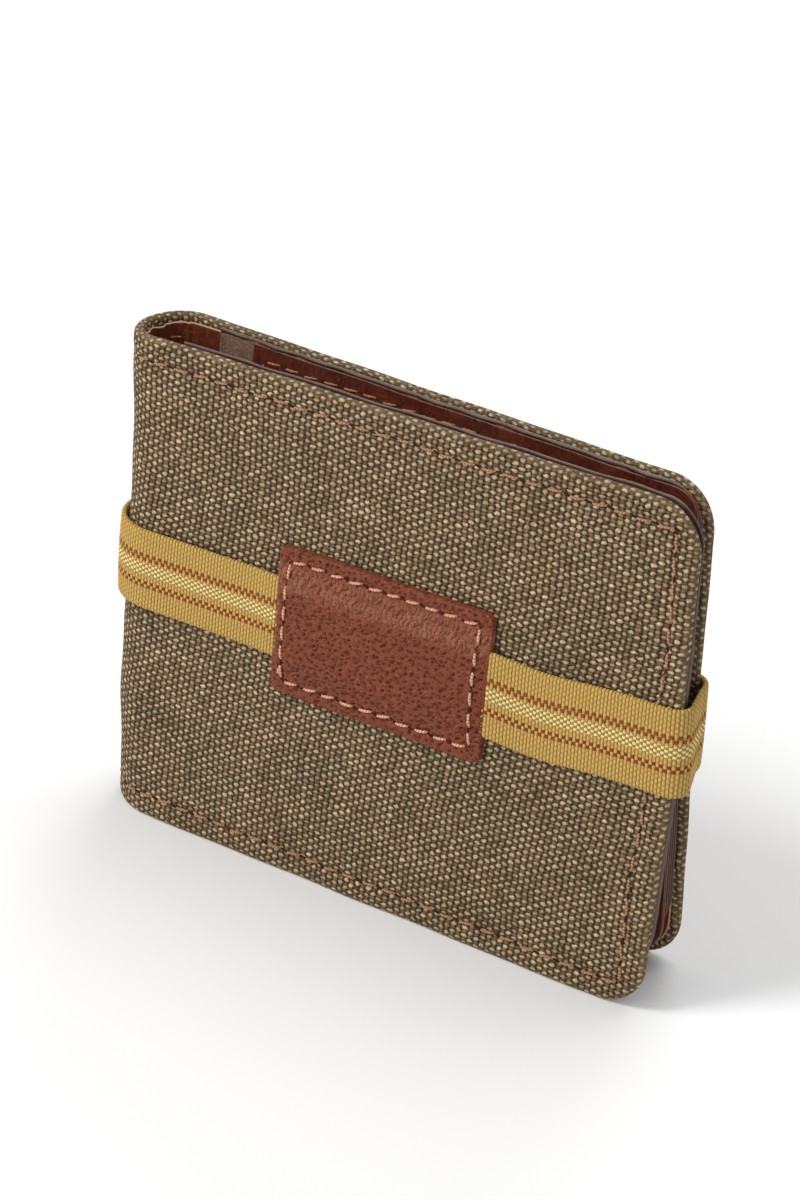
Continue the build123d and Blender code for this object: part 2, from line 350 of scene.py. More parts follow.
class Graph:
    """A material's nodes, written as expressions."""

    def __init__(self, name, roughness, specular, sheen=0.0, alpha=1.0):
        self.material = bpy.data.materials.new(name)
        self.material.use_nodes = True
        self.tree = self.material.node_tree
        self.shader = self.tree.nodes["Principled BSDF"]
        self.shader.inputs["Roughness"].default_value = roughness
        self.shader.inputs["Specular IOR Level"].default_value = specular
        self.shader.inputs["Sheen Weight"].default_value = sheen
        self.shader.inputs["Alpha"].default_value = alpha

    def feed(self, socket, value):
        if isinstance(value, bpy.types.NodeSocket):
            self.tree.links.new(value, socket)
        else:
            socket.default_value = value

    def node(self, kind, inputs=(), **settings):
        made = self.tree.nodes.new(kind)
        for key, value in settings.items():
            setattr(made, key, value)
        for key, value in dict(inputs).items():
            self.feed(made.inputs[key], value)
        return made

    def math(self, operation, a, b=0.0, c=0.0):
        return self.node("ShaderNodeMath", {0: a, 1: b, 2: c}, operation=operation).outputs[0]

    def add(self, a, b):
        return self.math("ADD", a, b)

    def less(self, a, b):
        return self.math("SUBTRACT", a, b)

    def times(self, a, b):
        return self.math("MULTIPLY", a, b)

    def apart(self, a, b):
        return self.math("ABSOLUTE", self.less(a, b))

    def centred(self, value, width):
        """A value from 0 to 1, spread over a width whose middle is 0."""
        return self.math("MULTIPLY_ADD", value, width, -width / 2)

    def wave(self, a, scale, shift=0.0):
        """Cosine of a times scale plus shift."""
        return self.math("COSINE", self.math("MULTIPLY_ADD", a, scale, shift))

    def split(self, vector):
        return self.node("ShaderNodeSeparateXYZ", {0: vector}).outputs

    def flat(self):
        """The place on the material, whole, and as along, up and distance from the edge."""
        found = self.node("ShaderNodeAttribute", attribute_name="flat").outputs["Vector"]
        return found, *self.split(found)

    def vector(self, x=0.0, y=0.0, z=0.0):
        return self.node("ShaderNodeCombineXYZ", {0: x, 1: y, 2: z}).outputs[0]

    def noise(self, vector, scale, detail=2.0, roughness=0.5, output="Fac"):
        inputs = {"Vector": vector, "Scale": scale, "Detail": detail, "Roughness": roughness}
        return self.node("ShaderNodeTexNoise", inputs).outputs[output]

    def cells(self, vector, scale):
        """Distance to the borders of irregular cells."""
        inputs = {"Vector": vector, "Scale": scale}
        made = self.node("ShaderNodeTexVoronoi", inputs, feature="DISTANCE_TO_EDGE")
        return made.outputs["Distance"]

    def between(self, value, low, high, out_low=0.0, out_high=1.0):
        inputs = {"Value": value, "From Min": low, "From Max": high, "To Min": out_low,
                  "To Max": out_high}
        made = self.node("ShaderNodeMapRange", inputs, interpolation_type="SMOOTHSTEP")
        return made.outputs[0]

    def mix(self, share, a, b, how="MIX"):
        inputs = {0: share, 6: a, 7: b}
        made = self.node("ShaderNodeMix", data_type="RGBA", blend_type=how)
        for number, value in inputs.items():
            self.feed(made.inputs[number], value)
        return made.outputs[2]

    def shade(self, colour, value):
        """A colour made darker or lighter by a factor."""
        return self.mix(1.0, colour, self.vector(value, value, value), "MULTIPLY")

    def bump(self, height, depth):
        return self.node("ShaderNodeBump", {"Height": height, "Distance": depth * MM}).outputs[0]

    def finish(self, colour, normal=None, roughness=None):
        inputs = {"Base Color": colour, "Normal": normal, "Roughness": roughness}
        for name, value in inputs.items():
            if value is not None:
                self.feed(self.shader.inputs[name], value)
        return self.material


def yarn_index(g, place, pitch):
    """Which yarn a place lies on, how far across it from -0.5 to 0.5, and both together."""
    scaled = g.times(place, 1 / pitch)
    index = g.math("FLOOR", scaled)
    return index, g.less(g.less(scaled, index), 0.5), scaled


def yarn_round(g, across, fullness):
    """Height of a round yarn across its width."""
    squared = g.math("POWER", g.math("ABSOLUTE", g.times(across, fullness)), 2.0)
    return g.math("SQRT", g.math("MAXIMUM", g.less(1.0, squared), 0.0))


def canvas_material():
    """Plain weave of olive-brown yarn, the light warp standing out, with shade painted dark into the
    gaps between.
    """
    g = Graph("canvas", roughness=0.92, specular=0.12, sheen=0.03)
    vector, s, z, edge = g.flat()
    wobble = g.split(g.noise(vector, 0.28, 2.0, output="Color"))
    s, z = (
        g.math("MULTIPLY_ADD", z, WARP_SKEW, g.add(s, wobble[0])),
        g.math("MULTIPLY_ADD", s, WEFT_SKEW, g.add(z, g.times(wobble[1], 0.6))),
    )
    for scale, detail, width_s, width_z in ((1.1, 1.0, 0.36, 0.24), (2.6, 2.0, 0.44, 0.36)):
        shift = g.split(g.noise(vector, scale, detail, output="Color"))
        s = g.add(s, g.centred(shift[0], width_s))
        z = g.add(z, g.centred(shift[1], width_z))
    warp, across_warp, s_yarns = yarn_index(g, s, YARN_X)
    weft, across_weft, z_yarns = yarn_index(g, z, YARN_Z)
    warp_wave = g.wave(g.add(z_yarns, warp), math.pi, -math.pi / 2)
    weft_wave = g.wave(g.add(s_yarns, weft), math.pi, math.pi / 2)
    warp_high = g.add(g.times(warp_wave, 0.5), g.times(yarn_round(g, across_warp, 2.6), 0.5))
    weft_high = g.add(g.times(weft_wave, 0.36), g.times(yarn_round(g, across_weft, 2.2), 0.4))
    weft_high = g.less(weft_high, 0.2)
    height = g.math("MAXIMUM", warp_high, weft_high)
    on_warp = g.between(g.less(warp_high, weft_high), -0.05, 0.3)
    column = g.between(g.math("ABSOLUTE", across_warp), 0.5, 0.24, 0.88, 1.0)
    each = g.noise(g.vector(g.times(warp, 3.7), g.times(weft, 3.1), 9.0), 1.0, 0.0)
    height = g.times(g.times(height, column), g.between(each, 0.2, 0.8, 0.86, 1.06))
    twist = g.wave(g.add(g.times(s, 0.7), z), 2 * math.pi / 0.4)
    twist = g.times(twist, on_warp)
    fibres = g.noise(g.vector(g.times(s, 3.4), g.times(z, 3.4), edge), 1.0, 3.0, 0.65)
    slub = g.noise(g.vector(g.times(warp, 0.73), g.times(z, 0.12)), 1.0, 2.0)
    cross = g.noise(g.vector(g.times(s, 0.1), g.times(weft, 0.81), 4.0), 1.0, 2.0)
    mottle = g.noise(vector, 0.09, 3.0, 0.6)
    warp_colour = g.mix(g.between(each, 0.2, 0.8), srgb(170, 145, 109), srgb(218, 194, 156))
    weft_colour = g.mix(g.between(cross, 0.3, 0.7), srgb(132, 107, 73), srgb(172, 144, 106))
    yarn = g.mix(on_warp, weft_colour, warp_colour)
    # The colour goes dark where the weave is low: painted shade in the gaps between the yarns. Near
    # the rim this painted shade is weaker.
    rim_lighter_gaps = g.between(edge, 0.2, 1.4, 0.45, 0.0)
    depth = g.math("MAXIMUM", g.between(height, 0.06, 0.94), rim_lighter_gaps)
    colour = g.mix(depth, srgb(52, 35, 18), yarn)
    light = g.add(g.between(slub, 0.3, 0.7, 0.86, 1.1), g.between(mottle, 0.3, 0.7, -0.08, 0.08))
    light = g.times(light, g.between(fibres, 0.3, 0.7, 0.64, 1.26))
    # The twist stripes on the warp are painted shade in the grooves of its twisted yarn.
    light = g.times(light, g.math("MULTIPLY_ADD", twist, 0.16, 1.0))
    relief = g.add(g.times(height, 0.9), g.times(fibres, 0.3))
    relief = g.add(relief, g.times(twist, 0.05))
    return g.finish(g.shade(colour, light), g.bump(relief, 0.7))


def elastic_material():
    """Ribbed elastic: mustard, with two rows of brown squares on each side of a cream middle."""
    g = Graph("elastic", roughness=0.82, specular=0.18, sheen=0.03)
    vector, along, up, _ = g.flat()
    along = g.add(along, g.centred(g.noise(vector, 0.8, 1.0), 0.12))
    rib, across, _ = yarn_index(g, along, RIB_PITCH)
    parity = g.wave(rib, math.pi)
    dash = g.times(g.wave(up, 2 * math.pi / 0.95), parity)
    height = g.add(g.times(yarn_round(g, across, 1.95), 0.75), g.times(dash, 0.16))
    fibres = g.noise(g.vector(g.times(along, 6.0), g.times(up, 1.6)), 1.0, 3.0, 0.6)
    # Darker where the ribs are low: painted shade in the grooves between them.
    base = g.mix(g.between(height, 0.1, 0.85), srgb(118, 88, 36), srgb(196, 160, 86))
    centre = g.between(g.apart(up, 0.3), 1.25, 1.0)
    cream = g.mix(g.between(dash, -0.2, 0.5), srgb(160, 124, 56), srgb(228, 212, 150))
    # The cream is also painted darker in the grooves, as shade.
    cream = g.mix(g.between(height, 0.0, 0.5), srgb(132, 98, 44), cream)
    colour = g.mix(centre, base, cream)
    for middle in (2.62, -2.7):
        for row, sign in ((0.36, 1.0), (-0.36, -1.0)):
            inside = g.between(g.apart(up, middle + row), 0.4, 0.3)
            chosen = g.between(g.times(parity, sign), -0.2, 0.2)
            colour = g.mix(g.times(inside, chosen), colour, srgb(108, 42, 10))
        near = g.between(g.apart(up, middle), 0.95, 0.7)
        warm = g.times(near, g.between(height, 0.4, 0.8))
        colour = g.mix(g.times(warm, 0.16), colour, srgb(216, 146, 84))
    light = g.between(fibres, 0.25, 0.75, 0.86, 1.1)
    relief = g.add(height, g.times(fibres, 0.12))
    return g.finish(g.shade(colour, light), g.bump(relief, 0.2))


def leather_material():
    """Pebbled leather with painted shade in its pits and painted highlights on its pebbles: the third
    value of the flat place is the height of its grain, 0 to 1.
    """
    g = Graph("patch_leather", roughness=0.42, specular=0.36)
    vector, _, height, grain = g.flat()
    place = g.node("ShaderNodeVectorMath", {0: vector, 1: (1, 1, 0)}, operation="MULTIPLY").outputs[0]
    fine = g.noise(place, 3.2, 5.0, 0.65)
    pores = g.cells(place, 2.1)
    broad = g.noise(place, 0.14, 3.0)
    # Above the band the leather is glossier, and its colour is painted lighter there as a highlight.
    top_gloss_and_highlight = g.between(g.apart(height, BAND_Z + BAND_WIDTH / 2 + 0.4), 3.4, 1.0)
    # The colour follows the grain's height: painted shade in the pits, and a painted highlight on the
    # pebbles' tops.
    colour = g.mix(g.between(grain, 0.2, 0.84), srgb(84, 37, 22), srgb(144, 71, 43))
    colour = g.mix(g.times(g.between(grain, 0.85, 1.05), 0.5), colour, srgb(178, 104, 70))
    colour = g.mix(g.times(top_gloss_and_highlight, 0.34), colour, srgb(190, 128, 98))
    colour = g.mix(g.times(g.between(broad, 0.4, 0.75), 0.3), colour, srgb(150, 78, 48))
    colour = g.shade(colour, g.between(fine, 0.25, 0.75, 0.78, 1.16))
    # Darker along the pores: painted shade.
    colour = g.shade(colour, g.between(pores, 0.0, 0.12, 0.86, 1.0))
    relief = g.add(g.times(fine, 0.9), g.times(g.between(pores, 0.0, 0.25), 0.6))
    rough = g.less(g.between(fine, 0.3, 0.7, 0.38, 0.54), g.times(top_gloss_and_highlight, 0.12))
    return g.finish(colour, g.bump(relief, 0.3), rough)


def lining_material(name, roughness, specular, *colours):
    """Smooth coated lining with a fine upright grain and small creases, painted darker as shade. The
    colours are the main one, its dark streaks, its light patches and the cut edge, which is darkened
    as painted shade on the leaf and lightened as a painted highlight on the pocket leather."""
    main, dark, light, cut = (srgb(*c) for c in colours)
    g = Graph(name, roughness=roughness, specular=specular)
    vector, s, z, edge = g.flat()
    streak = g.noise(g.vector(g.times(s, 1.6), g.times(z, 0.35), edge), 1.0, 4.0, 0.6)
    broad = g.noise(vector, 0.16, 3.0)
    crease = g.between(g.cells(g.vector(g.times(s, 0.9), g.times(z, 0.5)), 0.7), 0.0, 0.08)
    fine = g.noise(vector, 3.5, 4.0, 0.6)
    colour = g.mix(g.between(streak, 0.3, 0.7), dark, main)
    colour = g.mix(g.times(g.between(broad, 0.4, 0.8), 0.6), colour, light)
    # Darker along the creases: painted shade.
    colour = g.shade(colour, g.between(crease, 0.0, 1.0, 0.82, 1.0))
    colour = g.mix(g.times(g.between(edge, 0.3, 0.05), 0.85), colour, cut)
    relief = g.add(g.times(fine, 0.4), g.add(g.times(streak, 0.5), g.times(crease, 0.35)))
    rough = g.between(fine, 0.3, 0.7, roughness - 0.06, roughness + 0.1)
    return g.finish(colour, g.bump(relief, 0.1), rough)


def tape_material():
    """Thin grey-brown cloth tape with a fuzzy face."""
    g = Graph("hinge_tape", roughness=0.92, specular=0.2, sheen=0.25)
    vector, s, z, _ = g.flat()
    weave = g.times(g.wave(s, 2 * math.pi / 0.5), g.wave(z, 2 * math.pi / 0.5))
    fuzz = g.noise(vector, 2.2, 5.0, 0.7)
    broad = g.noise(vector, 0.4, 3.0)
    colour = g.mix(g.between(fuzz, 0.3, 0.7), srgb(82, 56, 44), srgb(150, 116, 96))
    colour = g.mix(g.times(g.between(broad, 0.45, 0.7), 0.5), colour, srgb(96, 58, 38))
    return g.finish(colour, g.bump(g.add(g.times(weave, 0.12), fuzz), 0.14))


def thread_material(name, base, dark):
    """Two-ply sewing thread, with shade painted dark in the groove between its plies."""
    g = Graph(name, roughness=0.62, specular=0.35, sheen=0.1)
    _, along, around, _ = g.flat()
    twist = g.wave(g.add(g.times(along, 2 * math.pi / 0.55), around), 1.0)
    fibres = g.noise(g.vector(g.times(along, 3.0), around), 2.0, 3.0, 0.6)
    # The dark colour is painted shade in the groove between the plies.
    colour = g.mix(g.between(twist, -1.0, 0.6), dark, base)
    colour = g.shade(colour, g.between(fibres, 0.25, 0.75, 0.82, 1.15))
    return g.finish(colour, g.bump(g.add(g.times(twist, 0.6), fibres), 0.05))


def hole_shade_material():
    """A needle hole's inside, painted dark as its shade."""
    g = Graph("needle_hole_shade", roughness=0.95, specular=0.1)
    return g.finish(g.mix(g.noise(g.flat()[0], 2.0), srgb(40, 26, 18), srgb(62, 42, 30)))


def board_material():
    """Grey-brown board with flecks."""
    g = Graph("board", roughness=0.9, specular=0.2)
    flecks = g.noise(g.flat()[0], 1.2, 5.0, 0.7)
    colour = g.mix(g.between(flecks, 0.35, 0.65), srgb(170, 150, 118), srgb(206, 190, 160))
    return g.finish(colour, g.bump(flecks, 0.05))


def window_material():
    """Clear soft plastic with slight ripples, thin enough that it doesn't bend light."""
    g = Graph("window", roughness=0.08, specular=0.8, alpha=0.3)
    ripple = g.noise(g.flat()[0], 0.1, 0.0)
    colour = g.mix(ripple, (0.10, 0.075, 0.07, 1), (0.13, 0.10, 0.095, 1))
    return g.finish(colour, g.bump(ripple, 0.1))


CANVAS = canvas_material()
RUST_LINING = lining_material(
    "lining_leather", 0.42, 0.4, (114, 52, 27), (74, 30, 16), (128, 62, 34), (196, 150, 110)
)
# The last colour, the leaf's cut edge, is darkened as painted shade.
RUST_LEAF = lining_material(
    "leaf_leather", 0.34, 0.5, (100, 42, 22), (60, 22, 12), (116, 54, 30), (108, 58, 38)
)
# The last colour lightens the pockets' cut top edges to grey as a painted highlight.
DARK_PANEL = lining_material(
    "pocket_leather", 0.44, 0.3, (76, 52, 46), (54, 36, 32), (84, 60, 52), (98, 80, 68)
)
TAPE = tape_material()
COVER_THREAD = thread_material("cover_thread", srgb(190, 136, 96), srgb(132, 88, 58))
INNER_THREAD = thread_material("inner_thread", srgb(214, 150, 96), srgb(160, 96, 54))
PATCH_THREAD = thread_material("patch_thread", srgb(226, 176, 142), srgb(176, 116, 84))
# Painted shade for the needle holes.
HOLE_SHADE = hole_shade_material()
BOARD = board_material()
WINDOW = window_material()
ELASTIC = elastic_material()
PATCH = leather_material()


# The cover: canvas and lining, each in four parts that bend over the spine's hinge lines ------

SEAM = math.radians(60)
SPINE_COLUMNS = 32
SHOULDER_COLUMNS = 16
BODY_COLUMNS = 47
ROW_STEP = 2.2
# A place so far to the left that only the upper and lower edges count.
NO_EDGE = -1e3

SEAM_X = spine_left(0) + spine_radius(0) - (spine_radius(0) - WALL) * math.cos(SEAM)
SEAM_Y = (spine_radius(HEIGHT) - WALL) * math.sin(SEAM)
FLAT_X = spine_left(0) + spine_radius(0) + 4.0
FLAT_Y = 6
# The bodies between which each part bends, and where the bend starts and ends.
BENDS = {
    "back": ("back_half", "spine_stave_1", (FLAT_X, FLAT_Y), (SEAM_X, FLAT_Y)),
    "spine_back": ("spine_stave_1", "spine_stave_2", (SEAM_X, SEAM_Y), (SEAM_X, 0)),
    "spine_front": ("spine_stave_2", "spine_stave_3", (SEAM_X, 0), (SEAM_X, -SEAM_Y)),
    "front": ("spine_stave_3", "front_half", (SEAM_X, -FLAT_Y), (FLAT_X, -FLAT_Y)),
}
STAVES = {"spine_back": (1,), "spine_front": (2, 3)}


def nodes_of(part, kind):
    """The CAD nodes of one layer of a part."""
    if part in STAVES:
        return [f"spine_{kind}_{i}" for i in STAVES[part]]
    return [f"{part}_edge_stitching" if kind == "stitching" else f"{part}_{kind}"]


def follow(piece, part, kind):
    """Bakes a piece of the cover in place, and lets it stand for its CAD nodes."""
    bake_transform(piece)
    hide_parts(*nodes_of(part, kind))


def side_of(part):
    return BACK if "back" in part else FRONT


def cuts_of(part):
    """The columns where a part's sheets are cut: at both ends on the spine, else at the first."""
    return (0, -1) if part in STAVES else (0,)


def cover_grid(part, inset, fine):
    """Places along the cloth, heights, distances from the edge and flat places of a part."""
    side, corner = side_of(part), CORNER_RADIUS - inset
    edge, top = EDGES[side] - inset, HEIGHT - inset
    rows = corner_ticks(inset, top, corner, fine, ROW_STEP)
    radius = spine_radius(rows)
    last, columns = (0, SPINE_COLUMNS) if part in STAVES else (math.pi / 2, SHOULDER_COLUMNS)
    s = -side * radius[:, None] * np.linspace(SEAM, last, columns + 1)[None, :]
    x = np.full(s.shape, NO_EDGE)
    if part not in STAVES:
        end = edge - corner_cut(np.minimum(rows - inset, top - rows), corner)
        start = spine_left(rows) + radius
        body = np.linspace(0, 1, BODY_COLUMNS + 1)[1:]
        body = start[:, None] + (end - fine[-1] - 0.4 - start)[:, None] * body[None, :]
        tail = end[:, None] - np.array(fine)[::-1][None, :]
        straight = np.concatenate([body, tail], 1)
        s = np.concatenate([s, along_cloth(straight, rows[:, None], side)], 1)
        x = np.concatenate([x, straight], 1)
    z = np.repeat(rows[:, None], s.shape[1], 1)
    box = (10 * NO_EDGE, edge, inset, top)
    distance = edge_distance(x, z, box, (corner, corner))
    distance[rim(s.shape, cuts_of(part))] = 0
    grow = rim_growth(distance, RIM_ROUNDING)
    across, up = outward(x, z, box, corner)
    return s, z, distance, np.stack([s - side * grow * across, z + grow * up, distance], -1)


# Folds of the lining inside the spine: place, width and height.
WRINKLES = (
    (-12.5, 0.7, 0.35), (-9.6, 0.6, 0.5), (-7.4, 0.5, 0.3), (-4.2, 0.8, 0.75), (-0.8, 0.6, 0.45),
    (2.6, 0.7, 0.4), (6.0, 0.6, 0.5), (9.8, 0.7, 0.35), (13.0, 0.8, 0.3),
)
KINK = (-2.4, 1.1, 1.0)


def wrinkle(s, z):
    """How far the lining stands off the canvas inside the spine, in upright folds."""
    total = 0
    for k, (place, width, size) in enumerate(WRINKLES):
        drift = place + 0.5 * np.sin(z / 11 + k)
        strength = 0.7 + 0.3 * np.sin(z / 17 + 2 * k)
        total = total + size * strength * hill(s, drift, width)
    place, width, size = KINK
    total = total + size * hill(z, HEIGHT, 14) * hill(s, place, width)
    return total * (1 - hill(np.abs(s), spine_radius(z) * SEAM, 0.9))


GROOVE_DEPTH = 0.26
GROOVE_WIDTH = 0.62
HEM_BULGE = 0.1
HEM_MIDDLE = 2.1
# How far a row of stitches goes on beyond the corner, and a distance too far to matter.
ROW_END = 0.4
FAR = 9.0


def stitch_groove(s, z):
    """How deep the stitches pull the canvas in along their row, and the hem's fullness."""
    row = [along_cloth(EDGES[side] - STITCH_INSET, z, side) for side in (FRONT, BACK)]
    right = np.where(s > 0, row[0], -row[1]) - np.abs(s)
    low, high = z - STITCH_INSET, HEIGHT - STITCH_INSET - z
    inside = np.minimum(low, high)
    level = np.where(right > -ROW_END, np.minimum(np.abs(low), np.abs(high)), FAR)
    upright = np.where(inside > -ROW_END, np.abs(right), FAR)
    pull = 0.75 + 0.25 * np.cos(2 * math.pi * (s + z) / STITCH_PITCH)
    hem = HEM_BULGE * hill(np.minimum(right, inside), -HEM_MIDDLE, 1.2)
    return GROOVE_DEPTH * pull * hill(np.minimum(level, upright), 0, GROOVE_WIDTH) - hem


def canvas_piece(part):
    s, z, distance, flat = cover_grid(part, 0.0, CLOTH_TICKS)
    share = rounding(distance, RIM_ROUNDING)
    outer = cloth(s, z, COVER / 2 * (1 - share) + stitch_groove(s, z))
    inner = cloth(s, z, COVER / 2 * (1 + share))
    return shell(f"{part}_canvas_cloth", outer, inner, flat, CANVAS, cuts_of(part))


def lining_piece(part):
    s, z, distance, flat = cover_grid(part, LINING_INSET, SHEET_TICKS)
    share = rounding(distance, LINING / 2)
    middle = COVER + LINING / 2 + wrinkle(s, z)
    outer = cloth(s, z, middle - LINING / 2 * share)
    inner = cloth(s, z, middle + LINING / 2 * share)
    return shell(f"{part}_lining_sheet", outer, inner, flat, RUST_LINING, cuts_of(part))


def build_cover():
    for part in BENDS:
        follow(canvas_piece(part), part, "canvas")
        follow(lining_piece(part), part, "lining")


# Thread --------------------------------------------------------------------------------------


def way(start, end):
    """Two places as arrays, and the directions along and across the way between them."""
    start, end = np.array(start, float), np.array(end, float)
    ahead = (end - start) / max(np.linalg.norm(end - start), 0.02)
    return start, end, ahead, np.array([-ahead[1], ahead[0]])


def lengths(line):
    """Length along a line of points up to each of them."""
    return np.concatenate([[0], np.cumsum(np.linalg.norm(np.diff(line, axis=0), axis=1))])


class Thread:
    """Collects stitches and needle holes into one piece. A surface is a function of a place and
    the height above it."""

    SIDES = 10
    STEPS = 14
    TWIST_PITCH = 2.2
    PIT_SIDES = 12
    PIT_RINGS = ((1.0, -0.03), (0.8, 0.06), (0.45, 0.045))
    THREAD_SLOT, HOLE_SLOT = 0, 1

    def __init__(self):
        self.points, self.faces, self.flat, self.kinds = [], [], [], []

    def add_faces(self, faces, slot):
        self.faces += [tuple(face) for face in faces]
        self.kinds += [slot] * len(faces)

    def tube(self, path, radius):
        """A two-ply thread along a path of points, with closed ends."""
        path = np.asarray(path)
        ahead = np.gradient(path, axis=0)
        ahead /= np.linalg.norm(ahead, axis=1)[:, None]
        first = np.cross(ahead, np.array([0.31, 0.52, 0.79]))
        first /= np.linalg.norm(first, axis=1)[:, None]
        second = np.cross(ahead, first)
        base = len(self.points)
        count = len(path)
        travelled = lengths(path)
        for k, centre in enumerate(path):
            taper = min(1.0, 0.5 + 2.2 * min(k, count - 1 - k) / count)
            for angle in np.linspace(0, 2 * math.pi, self.SIDES, endpoint=False):
                twist = 2 * (angle - 2 * math.pi * travelled[k] / self.TWIST_PITCH)
                ring = first[k] * math.cos(angle) + second[k] * math.sin(angle)
                self.points.append(centre + ring * radius * taper * (1 + 0.17 * math.cos(twist)))
                self.flat.append((travelled[k], angle, 0))
        index = base + np.arange(count * self.SIDES).reshape(count, self.SIDES)
        walls = quads(np.concatenate([index, index[:, :1]], 1))[:, ::-1]
        self.add_faces([*walls, index[0], index[-1, ::-1]], self.THREAD_SLOT)

    def pit(self, surface, start, end, width):
        """A shallow cup where the thread goes down, from one place to another, painted dark as the
        shade in the needle hole.
        """
        start, end, ahead, aside = way(start, end)
        middle = (start + end) / 2
        reach = max(np.linalg.norm(end - start) / 2, 0.01)
        base = len(self.points)
        for size, lift in self.PIT_RINGS:
            for k in range(self.PIT_SIDES):
                angle = 2 * math.pi * k / self.PIT_SIDES
                place = middle + ahead * math.cos(angle) * (reach + width * 0.4) * size
                place = place + aside * math.sin(angle) * width * size
                self.points.append(surface(*place, lift))
                self.flat.append((*place, 0))
        index = base + np.arange(len(self.points) - base).reshape(-1, self.PIT_SIDES)
        walls = quads(np.concatenate([index, index[:, :1]], 1))
        self.add_faces([*walls, index[-1]], self.HOLE_SLOT)

    def stitch(self, surface, start, end, radius, lift, sag=0.3):
        """A stitch between two places of a surface, which dips into it at both ends."""
        start, end, *_ = way(start, end)
        path = []
        for t in np.linspace(0, 1, self.STEPS):
            height = -sag + (sag + lift) * math.sin(math.pi * t) ** 0.45
            path.append(surface(*(start + (end - start) * t), height))
        self.tube(path, radius)

    def row(self, surface, start, end, pitch, fill, rng, slant=0.0, pit=0.0, **style):
        """A straight row of stitches, each turned a little, that fill a share of the pitch."""
        start, end, ahead, aside = way(start, end)
        count = max(1, round(np.linalg.norm(end - start) / pitch))
        ends = []
        for i in range(count):
            middle, reach = (i + 0.5) / count, fill / 2 / count
            wander = rng.normal(0, 0.07, 2)
            turn = slant + rng.normal(0, 0.06)
            a = start + (end - start) * (middle - reach) + wander - aside * turn
            b = start + (end - start) * (middle + reach) + wander + aside * turn
            self.stitch(surface, a, b, **style)
            ends.append((a, b))
        if pit:
            for (_, b), (a, _) in zip(ends, ends[1:]):
                self.pit(surface, b - ahead * 0.1, a + ahead * 0.1, pit * rng.uniform(0.7, 1.1))
            for place in (ends[0][0] - ahead * 0.15, ends[-1][1] + ahead * 0.15):
                self.pit(surface, place - ahead * 0.1, place + ahead * 0.1, pit * 1.2)

    def frame(self, surface, box, inset, slants, *sizes, **style):
        """Rows round the inside of a box, with slants for the level and the upright rows."""
        left, right, low, high = box[0] + inset, box[1] - inset, box[2] + inset, box[3] - inset
        corners = [(left, high), (right, high), (right, low), (left, low), (left, high)]
        for start, end in zip(corners, corners[1:]):
            slant = slants[0] if start[1] == end[1] else slants[1]
            self.row(surface, start, end, *sizes, slant=slant, **style)

    def make(self, name, material):
        return make_object(name, self.points, self.faces, [material, HOLE_SHADE], self.flat, self.kinds)


def outer_face(s, z, height):
    return cloth(s, z, stitch_groove(s, z) * 0.7 - height)


def inner_face(s, z, height):
    return cloth(s, z, WALL + wrinkle(s, z) + height)


COVER_STYLE = {"radius": 0.23, "lift": 0.2, "slant": 0.14, "pit": 0.26}
SPINE_STYLE = {"radius": 0.2, "lift": 0.02, "slant": 0.1, "pit": 0.12}
INSIDE_STYLE = {"radius": 0.18, "lift": 0.12, "slant": 0.1}


def build_edge_stitching():
    """The row of stitches round the cover, outside, and its underside on the spine lining."""
    low, high = STITCH_INSET, HEIGHT - STITCH_INSET
    for number, part in enumerate(BENDS):
        rng = np.random.RandomState(40 + number)
        thread = Thread()
        side, spine = side_of(part), part in STAVES
        style = SPINE_STYLE if spine else COVER_STYLE
        ends = {z: 0.0 if spine else along_cloth(EDGES[side] - STITCH_INSET, z, side)
                for z in (low, high)}
        for z in (low, high):
            rows = [((-side * spine_radius(z) * SEAM, z), (ends[z], z))]
            if z == low and not spine:
                rows.append(((ends[low], low), (ends[high], high)))
                thread.pit(outer_face, (ends[high], high), (ends[high], high + 0.1), 0.55)
            for start, end in rows:
                thread.row(outer_face, start, end, STITCH_PITCH, 0.72, rng, **style)
            if spine:
                thread.row(inner_face, *rows[0], STITCH_PITCH, 0.8, rng, **INSIDE_STYLE)
        follow(thread.make(f"{part}_edge_thread", COVER_THREAD), part, "stitching")


# Boards, dividers and card pockets of one half --------------------------------------------------

DIVIDER_DEPTH = WALL + 0.25
SHEET = 0.34
STACK_STEP = 0.5
LOWER_RADIUS = 13.0
BOARD_SHEET = 0.6
# How far the bill divider stays below the cover's top and behind its edge, and the extra
# thickness of its turned top edge. The back one shows above the pockets.
DIVIDER_DROP = {FRONT: 0.05, BACK: 0.5}
DIVIDER_INSET = {FRONT: 0.45, BACK: PANEL_INSET}
DIVIDER_ROLL = {FRONT: 0.2, BACK: 0.55}


def beyond_hole(x, z, hole):
    """Distance outwards from a hole, which is given like a box, and not above 0 inside it."""
    left, right, low, high = sides(x, z, hole)
    out_x, out_z = np.maximum(-left, -right), np.maximum(-low, -high)
    corner = (out_x > 0) & (out_z > 0)
    return np.where(corner, np.hypot(out_x, out_z), np.maximum(out_x, out_z))


